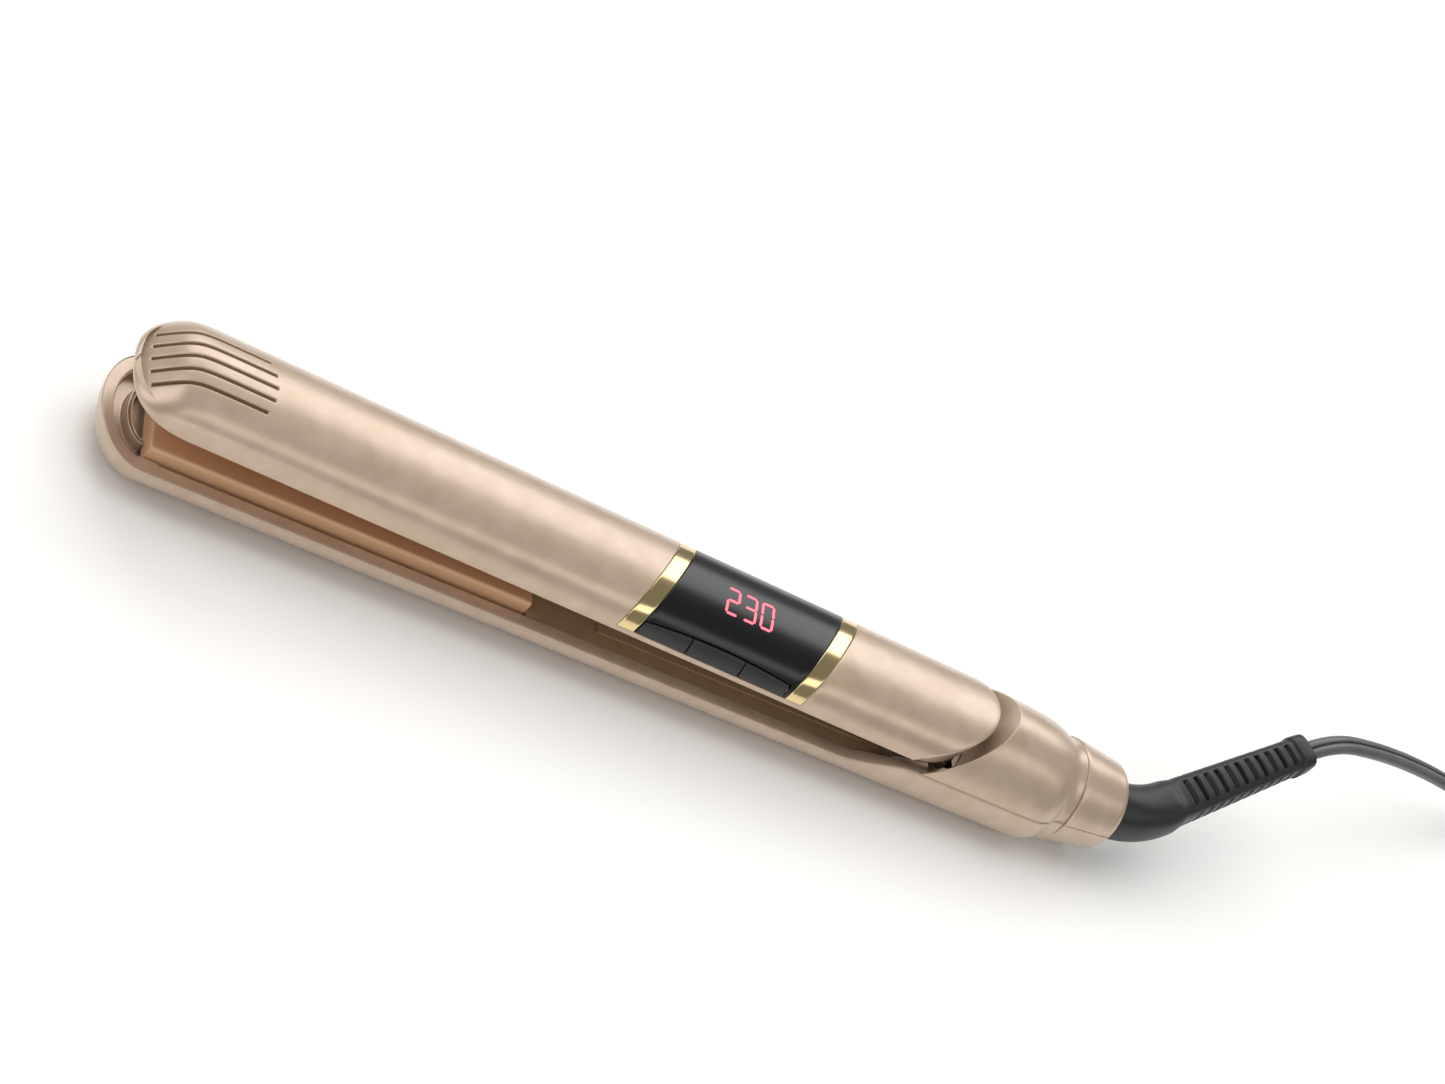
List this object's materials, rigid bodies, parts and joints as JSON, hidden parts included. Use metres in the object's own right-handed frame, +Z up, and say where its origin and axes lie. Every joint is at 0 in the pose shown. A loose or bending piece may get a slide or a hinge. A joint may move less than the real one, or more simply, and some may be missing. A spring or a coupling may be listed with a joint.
{
  "type": "hair straightening iron",
  "caption": "Hinged two-armed hair iron with floating heated plates, side buttons, a digit display, a swivelling strain relief and a flat mains cable with plug.",
  "frame": {"origin": "on the surface the iron lies on, under the middle of the iron's box without its cable", "axes": "+X along the iron from the nose of the arms to the cable, -Y the side with the buttons, +Z up from the flat it rests on"},
  "size_m": [0.5881, 0.091, 0.0357],
  "materials": {
    "champagne_paint": "pearl champagne lacquer over moulded plastic",
    "gold_trim": "metallised pale gold",
    "gloss_black": "high gloss smoked window",
    "button_plastic": "fine matt",
    "rose_plate": "ceramic-coated satin rose gold",
    "heater_ceramic": "fired ceramic",
    "spring_steel": "plain",
    "steel_screw": "zinc plated",
    "brass": "plain",
    "heat_plastic": "heat-resistant nylon, satin champagne",
    "silicone": "heat-resistant silicone",
    "circuit_board": "solder mask",
    "cable_rubber": "soft matt"
  },
  "bodies": {
    "handle": {"arm_spring": "spring_steel", "board_components": "circuit_board", "collar_lower": "champagne_paint", "collar_upper": "champagne_paint", "cover_screws": "steel_screw", "hinge_pin": "spring_steel", "housing_screws": "steel_screw", "lower_inner_cover": "heat_plastic", "lower_plate_cushions": "silicone", "lower_plate_holder": "heat_plastic", "lower_shell": "champagne_paint", "mains_leads": "cable_rubber", "power_board": "circuit_board", "rear_housing_upper": "champagne_paint"},
    "upper_arm": {"upper_shell": "champagne_paint", "gold_band_front": "gold_trim", "gold_band_rear": "gold_trim", "display_window": "gloss_black", "digit_display": "circuit_board", "control_board": "circuit_board", "key_board": "circuit_board", "upper_inner_cover": "heat_plastic", "upper_plate_holder": "heat_plastic", "upper_plate_cushions": "silicone", "hinge_bracket": "spring_steel", "hinge_bushes": "brass"},
    "lower_plate_unit": {"lower_plate": "rose_plate", "lower_heater": "heater_ceramic", "lower_heater_clip": "spring_steel", "lower_thermostat": "spring_steel"},
    "upper_plate_unit": {"upper_plate": "rose_plate", "upper_heater": "heater_ceramic", "upper_heater_clip": "spring_steel", "upper_thermostat": "spring_steel"},
    "minus_key": {"button_minus": "button_plastic"},
    "power_key": {"button_power": "button_plastic"},
    "plus_key": {"button_plus": "button_plastic"},
    "cord": {"swivel_barrel": "heat_plastic", "swivel_rings": "spring_steel", "strain_relief": "cable_rubber", "power_cable": "cable_rubber", "cable_hank": "cable_rubber", "cable_tail": "cable_rubber", "hank_tie": "cable_rubber", "plug_body": "cable_rubber", "plug_pins": "brass"}
  },
  "joints": [
    {"name": "arm_hinge", "type": "hinge", "parent": "handle", "child": "upper_arm", "pos_m": [0.089, 0, 0.016], "axis": [0, 1, 0], "range_deg": [-1.53, 8], "stiffness_Nm_per_rad": 8, "springref_deg": 0.69, "deforming": ["arm_spring"]},
    {"name": "lower_plate_float", "type": "slide", "parent": "handle", "child": "lower_plate_unit", "axis": [0, 0, -1], "range_m": [0, 0.0008], "stiffness_N_per_m": 2500, "deforming": ["lower_plate_cushions"]},
    {"name": "upper_plate_float", "type": "slide", "parent": "upper_arm", "child": "upper_plate_unit", "axis": [0.0267, 0, 0.9996], "range_m": [0, 0.0008], "stiffness_N_per_m": 2500, "deforming": ["upper_plate_cushions"]},
    {"name": "minus_press", "type": "slide", "parent": "upper_arm", "child": "minus_key", "axis": [0, 1, 0], "range_m": [0, 0.0005], "stiffness_N_per_m": 800},
    {"name": "power_press", "type": "slide", "parent": "upper_arm", "child": "power_key", "axis": [0, 1, 0], "range_m": [0, 0.0005], "stiffness_N_per_m": 800},
    {"name": "plus_press", "type": "slide", "parent": "upper_arm", "child": "plus_key", "axis": [0, 1, 0], "range_m": [0, 0.0005], "stiffness_N_per_m": 800},
    {"name": "cord_swivel", "type": "hinge", "parent": "handle", "child": "cord", "pos_m": [0.143, 0, 0.014], "axis": [1, 0, 0], "continuous": true}
  ]
}
